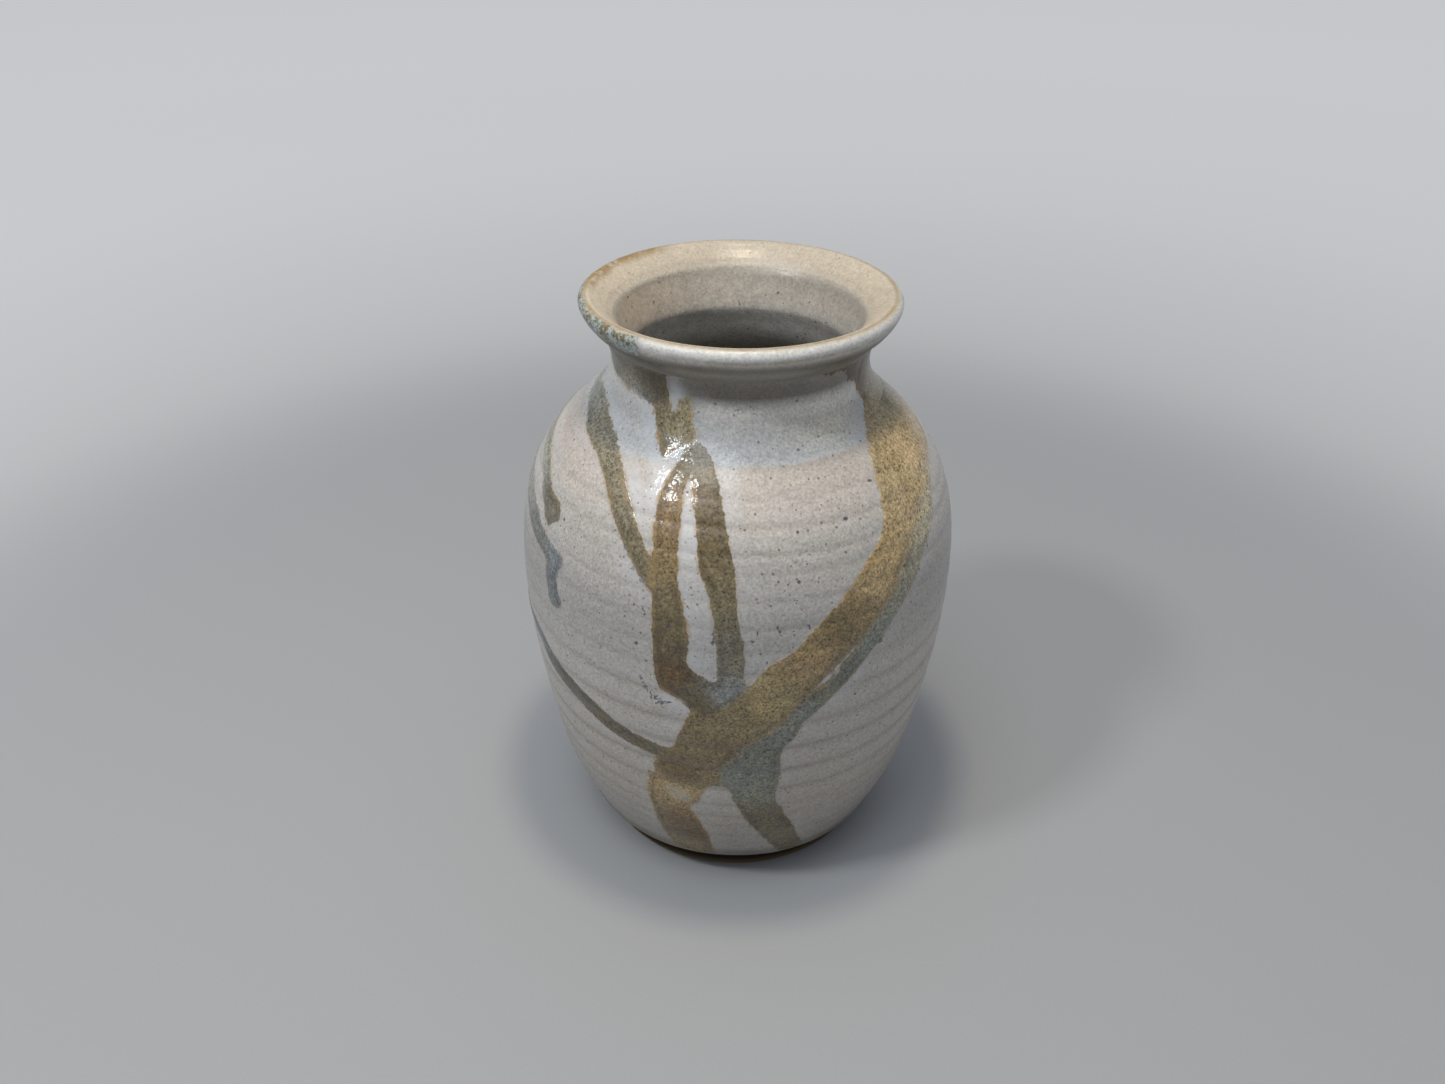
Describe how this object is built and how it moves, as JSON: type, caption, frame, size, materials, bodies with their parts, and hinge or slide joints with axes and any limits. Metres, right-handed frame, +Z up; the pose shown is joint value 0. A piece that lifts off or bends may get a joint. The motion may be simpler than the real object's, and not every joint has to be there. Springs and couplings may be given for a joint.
{
  "type": "stoneware vase",
  "caption": "Wheel-thrown stoneware vase with a barrel body, short neck and flared rolled rim, satin cream glaze with poured iron-ochre trails; holds flowers or stands as decor.",
  "frame": {"origin": "centre of the foot ring on the surface the vase stands on", "axes": "+Z up along the throwing axis to the mouth; -Y towards the side with the forked trails; +X to that side's right"},
  "size_m": [0.1482, 0.1483, 0.2],
  "materials": {
    "bare_clay": "matte",
    "cream_glaze": "satin",
    "blue_grey_glaze": "satin",
    "rim_glaze": "satin",
    "liner_glaze": "satin",
    "ochre_trail": "satin",
    "grey_green_trail": "satin"
  },
  "bodies": {
    "root": {"stoneware_body": "bare_clay", "glaze_coat_body": "cream_glaze", "glaze_dip_collar": "blue_grey_glaze", "glaze_rim": "rim_glaze", "glaze_liner": "liner_glaze", "trail_right_band": "ochre_trail", "trail_grey_edge": "grey_green_trail", "trail_arch": "ochre_trail", "trail_neck_left": "ochre_trail", "trail_diagonal": "ochre_trail", "trail_left_upper": "grey_green_trail", "trail_left_lower": "grey_green_trail", "trail_lower_left": "grey_green_trail", "drape_neck_right": "grey_green_trail", "patch_rim_left": "grey_green_trail", "pour_back": "ochre_trail", "run_back_left": "grey_green_trail"}
  },
  "joints": []
}
